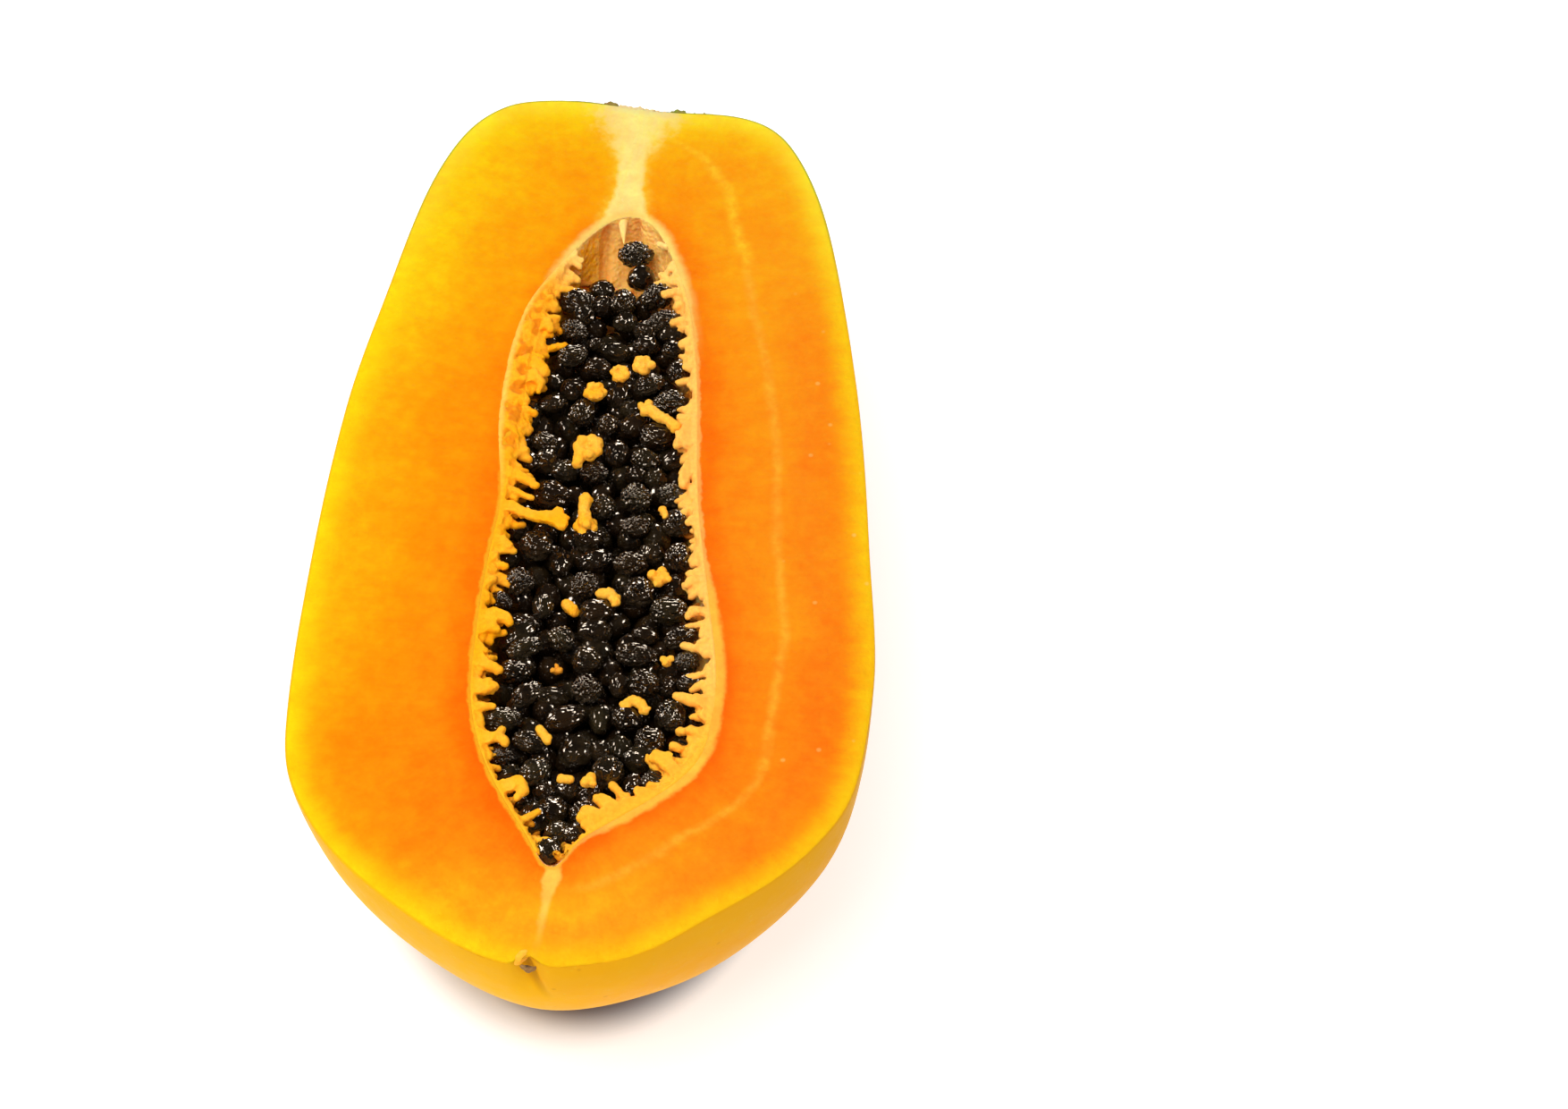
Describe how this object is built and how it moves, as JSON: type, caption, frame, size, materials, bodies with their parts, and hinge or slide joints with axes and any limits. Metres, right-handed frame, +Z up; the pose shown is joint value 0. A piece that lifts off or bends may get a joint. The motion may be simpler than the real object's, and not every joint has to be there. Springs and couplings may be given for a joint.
{
  "type": "papaya half",
  "caption": "Ripe papaya half, cut lengthwise and lying on its skin, with the open cavity full of dark seeds facing up.",
  "frame": {"origin": "on the resting surface, under the middle of the half's bounding box", "axes": "+Z up out of the cut face, +Y from the blossom end to the stem end, +X to the right seen from the blossom end"},
  "size_m": [0.1018, 0.2002, 0.052],
  "materials": {
    "ripe_flesh": null,
    "seed_coat": null
  },
  "bodies": {
    "root": {"papaya_half": "ripe_flesh", "seed_01": "seed_coat", "seed_02": "seed_coat", "seed_03": "seed_coat", "seed_04": "seed_coat", "seed_05": "seed_coat", "seed_06": "seed_coat", "seed_07": "seed_coat", "seed_08": "seed_coat", "seed_09": "seed_coat", "seed_10": "seed_coat", "seed_11": "seed_coat", "seed_12": "seed_coat", "seed_13": "seed_coat", "seed_14": "seed_coat", "seed_15": "seed_coat", "seed_16": "seed_coat", "seed_17": "seed_coat", "seed_18": "seed_coat", "seed_19": "seed_coat", "seed_20": "seed_coat", "seed_21": "seed_coat", "seed_22": "seed_coat", "seed_23": "seed_coat", "seed_24": "seed_coat", "seed_25": "seed_coat", "seed_26": "seed_coat", "seed_27": "seed_coat", "seed_28": "seed_coat", "seed_29": "seed_coat", "seed_30": "seed_coat", "seed_31": "seed_coat", "seed_32": "seed_coat", "seed_33": "seed_coat", "seed_34": "seed_coat", "seed_35": "seed_coat", "seed_36": "seed_coat", "seed_37": "seed_coat", "seed_38": "seed_coat", "seed_39": "seed_coat", "seed_40": "seed_coat", "seed_41": "seed_coat", "seed_42": "seed_coat", "seed_43": "seed_coat", "seed_44": "seed_coat", "seed_45": "seed_coat", "seed_46": "seed_coat", "seed_47": "seed_coat", "seed_48": "seed_coat", "seed_49": "seed_coat", "seed_50": "seed_coat", "seed_51": "seed_coat", "seed_52": "seed_coat", "seed_53": "seed_coat", "seed_54": "seed_coat", "seed_55": "seed_coat", "seed_56": "seed_coat", "seed_57": "seed_coat", "seed_58": "seed_coat", "seed_bed": "seed_coat"}
  },
  "joints": []
}
